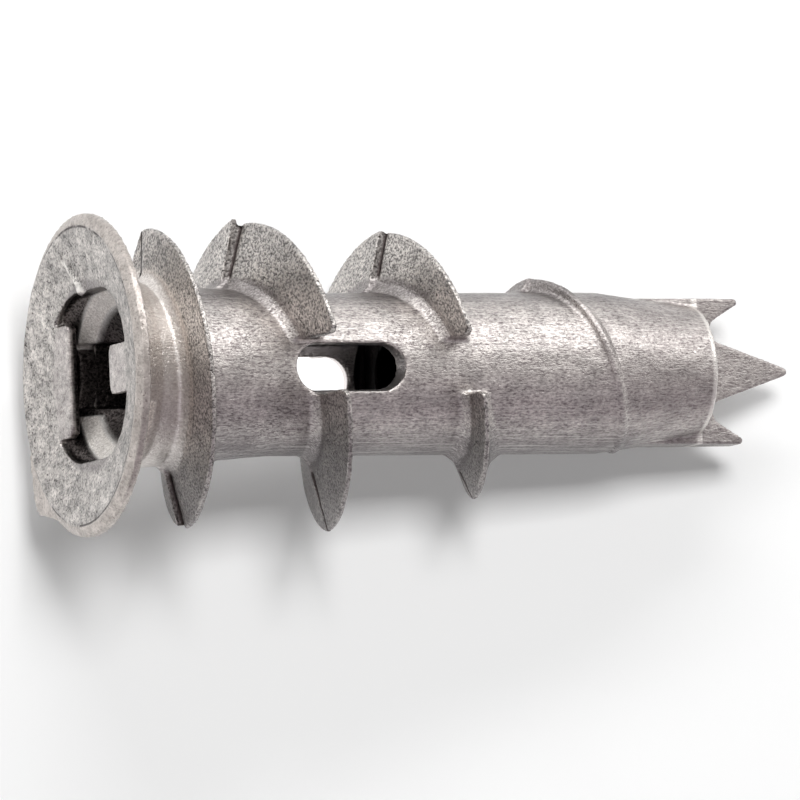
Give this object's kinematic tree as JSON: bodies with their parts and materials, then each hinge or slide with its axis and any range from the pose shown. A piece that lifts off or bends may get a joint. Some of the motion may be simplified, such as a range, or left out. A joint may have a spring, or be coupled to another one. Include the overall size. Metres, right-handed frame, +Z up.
{
  "type": "drywall anchor",
  "caption": "Self-drilling drywall anchor in cast zinc: a dished flange, a coarse broken thread, and a flat pointed tip that drills its own hole.",
  "frame": {"origin": "centre of the bounding box, on the surface the anchor lies on", "axes": "+Z up; the anchor lies on its far side with the tip towards +X and its axis dipping 10.3 degrees; the flat of the tip faces up"},
  "size_m": [0.0388, 0.0158, 0.0169],
  "materials": {
    "cast_zinc": "dull as-cast zinc alloy, mottled and finely pitted"
  },
  "bodies": {
    "root": {"anchor": "cast_zinc"}
  },
  "joints": []
}
